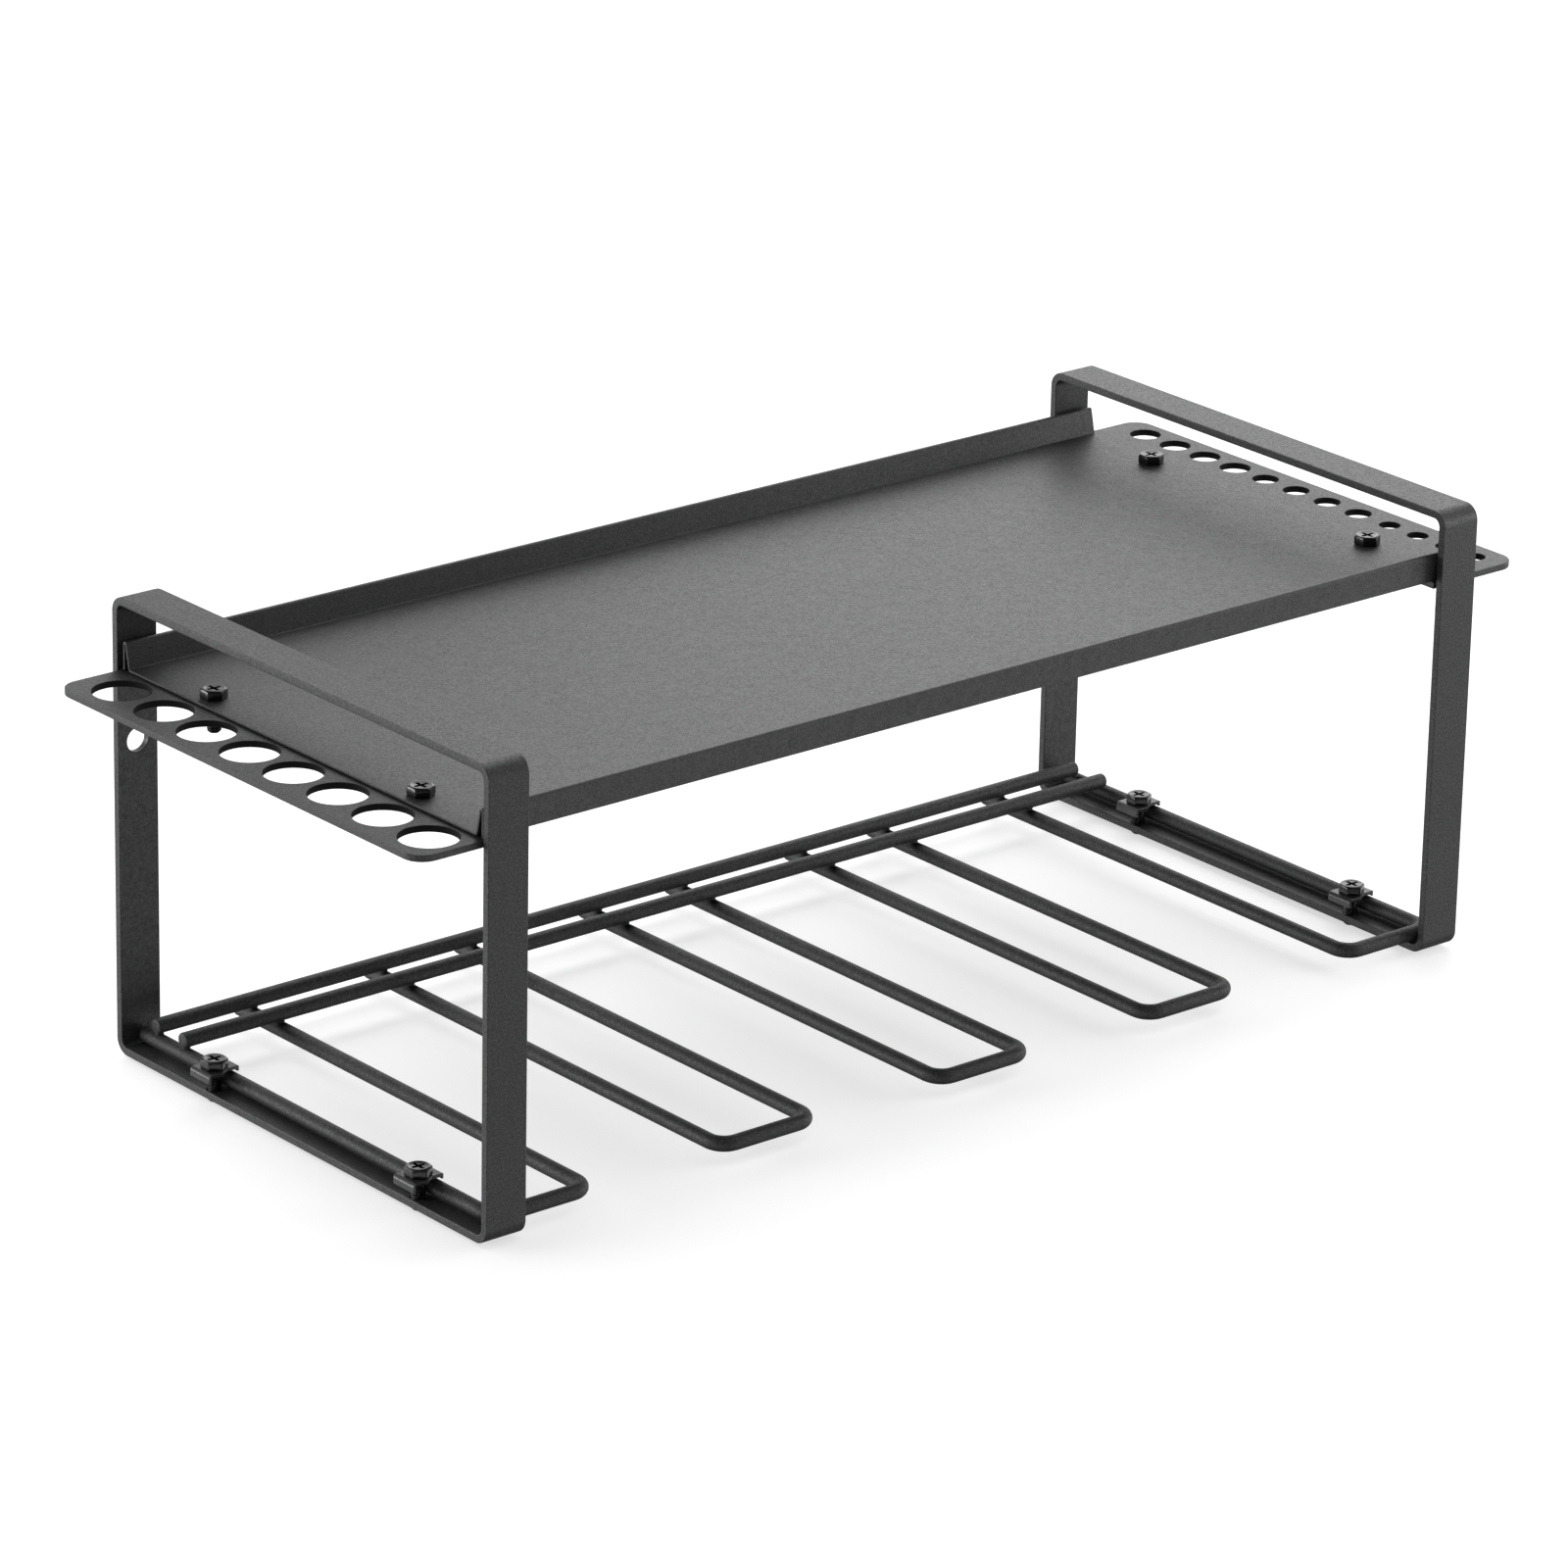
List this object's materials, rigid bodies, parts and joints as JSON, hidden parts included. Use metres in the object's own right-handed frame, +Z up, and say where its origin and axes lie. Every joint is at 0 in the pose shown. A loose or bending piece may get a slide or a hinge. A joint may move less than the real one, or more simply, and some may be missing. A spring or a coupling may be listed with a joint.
{
  "type": "hair tool rack",
  "caption": "Black coated steel hair tool rack: two flat-bar hoops, a hemmed shelf, drilled tool plates past both ends and a bolted rack of wire loops below",
  "frame": {"origin": "under the middle of the rack, on the plane that the lowest bolt tips touch", "axes": "+X along the shelf, to the side with the small tool holes; +Y back to the wall; +Z up"},
  "size_m": [0.4706, 0.2, 0.1614],
  "materials": {
    "bar_coat": "fine textured black powder coat on flat bar",
    "sheet_coat": "fine textured black powder coat on sheet, slightly lighter",
    "wire_coat": "fine textured black powder coat on round wire",
    "clip_coat": "satin black coat on stamped clips",
    "bolt_coat": "glossy black plated bolts"
  },
  "bodies": {
    "root": {"left_hoop_frame": "bar_coat", "right_hoop_frame": "bar_coat", "left_tool_plate": "sheet_coat", "right_tool_plate": "sheet_coat", "shelf_tray": "sheet_coat", "rear_rack_rail": "wire_coat", "front_rack_rail": "wire_coat", "hook_loop_1": "wire_coat", "hook_loop_2": "wire_coat", "hook_loop_3": "wire_coat", "hook_loop_4": "wire_coat", "hook_loop_5": "wire_coat", "clamp_clip_left_rear": "clip_coat", "clamp_clip_left_front": "clip_coat", "clamp_clip_right_rear": "clip_coat", "clamp_clip_right_front": "clip_coat", "clip_bolt_left_rear": "bolt_coat", "clip_bolt_left_front": "bolt_coat", "clip_bolt_right_rear": "bolt_coat", "clip_bolt_right_front": "bolt_coat", "shelf_bolt_left_rear": "bolt_coat", "shelf_bolt_left_front": "bolt_coat", "shelf_bolt_right_rear": "bolt_coat", "shelf_bolt_right_front": "bolt_coat"}
  },
  "joints": []
}
